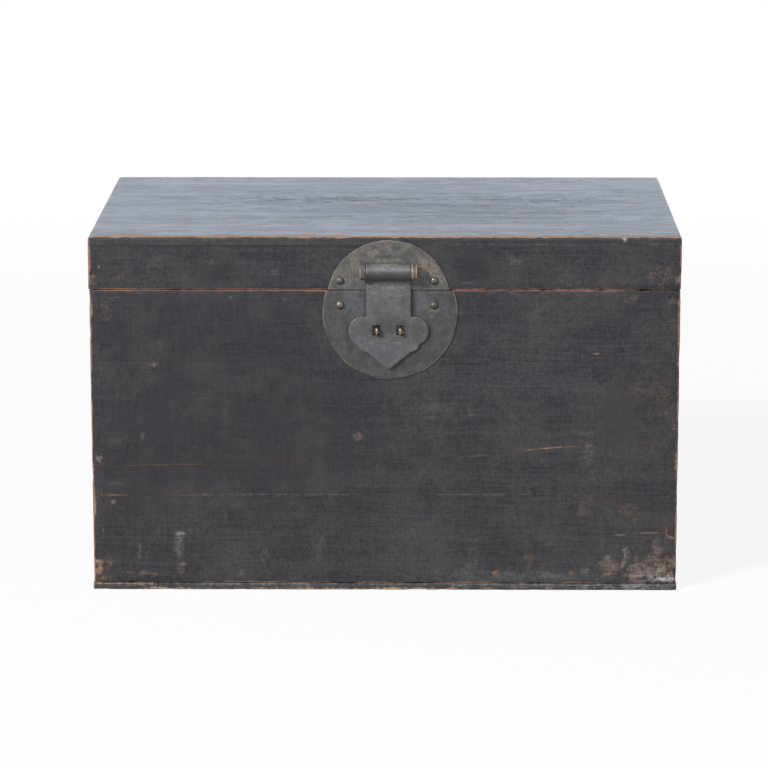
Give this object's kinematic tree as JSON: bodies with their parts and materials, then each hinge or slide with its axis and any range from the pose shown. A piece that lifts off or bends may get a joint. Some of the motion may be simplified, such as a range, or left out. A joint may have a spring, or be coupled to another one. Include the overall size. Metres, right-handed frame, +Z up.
{
  "type": "elm trunk",
  "caption": "Black-lacquered plank trunk with dovetailed corners, a lid hinged at the back, a round brass lock with a drop hasp over staples, and a bail handle on each end.",
  "frame": {"origin": "centre of the underside of the base", "axes": "+Z up, -Y out of the front with the lock, +X to the right as the front is seen"},
  "size_m": [0.9316, 0.6193, 0.553],
  "materials": {
    "black_lacquer": "worn black lacquer over elm, brown where edges are rubbed through",
    "bare_elm": "aged elm, dark and dry, with lacquer left on its edges",
    "dark_brass": "grey-green patina over hammered sheet brass",
    "rubbed_brass": "brass rubbed bright on its high spots"
  },
  "bodies": {
    "carcass": {"front_plank_bottom": "black_lacquer", "front_plank_lower_wedge": "black_lacquer", "front_plank_upper_wedge": "black_lacquer", "front_plank_top": "black_lacquer", "back_plank_bottom": "black_lacquer", "back_plank_middle": "black_lacquer", "back_plank_top": "black_lacquer", "left_plank_lower": "black_lacquer", "left_plank_upper": "black_lacquer", "right_plank_lower": "black_lacquer", "right_plank_upper": "black_lacquer", "base_plank_front": "bare_elm", "base_plank_middle": "bare_elm", "base_plank_rear": "bare_elm", "lock_plate_lower": "dark_brass", "lock_nail_lower_left": "rubbed_brass", "lock_nail_lower_right": "rubbed_brass", "staple_left": "rubbed_brass", "staple_right": "rubbed_brass", "left_hinge_body_leaf": "dark_brass", "left_hinge_pin": "rubbed_brass", "left_hinge_body_nail_a": "rubbed_brass", "left_hinge_body_nail_b": "rubbed_brass", "right_hinge_body_leaf": "dark_brass", "right_hinge_pin": "rubbed_brass", "right_hinge_body_nail_a": "rubbed_brass", "right_hinge_body_nail_b": "rubbed_brass", "left_handle_eye_front": "dark_brass", "left_handle_eye_rear": "dark_brass", "left_handle_washer_front": "dark_brass", "left_handle_washer_rear": "dark_brass", "right_handle_eye_front": "dark_brass", "right_handle_eye_rear": "dark_brass", "right_handle_washer_front": "dark_brass", "right_handle_washer_rear": "dark_brass"},
    "lid": {"lid_top_plank_front": "black_lacquer", "lid_top_plank_back": "black_lacquer", "lid_rim_front": "black_lacquer", "lid_rim_back": "black_lacquer", "lid_rim_left": "black_lacquer", "lid_rim_right": "black_lacquer", "lock_plate_upper": "dark_brass", "lock_nail_upper_left": "rubbed_brass", "lock_nail_upper_right": "rubbed_brass", "hasp_pin": "rubbed_brass", "hasp_knuckle_left": "dark_brass", "hasp_knuckle_right": "dark_brass", "left_hinge_lid_leaf": "dark_brass", "left_hinge_lid_nail_a": "rubbed_brass", "left_hinge_lid_nail_b": "rubbed_brass", "right_hinge_lid_leaf": "dark_brass", "right_hinge_lid_nail_a": "rubbed_brass", "right_hinge_lid_nail_b": "rubbed_brass"},
    "hasp": {"hasp": "dark_brass"},
    "left_handle": {"left_handle_bail": "dark_brass"},
    "right_handle": {"right_handle_bail": "dark_brass"}
  },
  "joints": [
    {"name": "lid_hinge", "type": "hinge", "parent": "carcass", "child": "lid", "pos_m": [0, 0.296, 0.4717], "axis": [-1, 0, 0], "range_deg": [0, 105]},
    {"name": "hasp_hinge", "type": "hinge", "parent": "lid", "child": "hasp", "pos_m": [0.006, -0.3051, 0.5019], "axis": [-1, 0, 0], "range_deg": [0, 180]},
    {"name": "left_handle_swing", "type": "hinge", "parent": "carcass", "child": "left_handle", "pos_m": [-0.4583, 0, 0.3], "axis": [0, 1, 0], "range_deg": [0, 170]},
    {"name": "right_handle_swing", "type": "hinge", "parent": "carcass", "child": "right_handle", "pos_m": [0.4583, 0, 0.3], "axis": [0, -1, 0], "range_deg": [0, 170]}
  ]
}
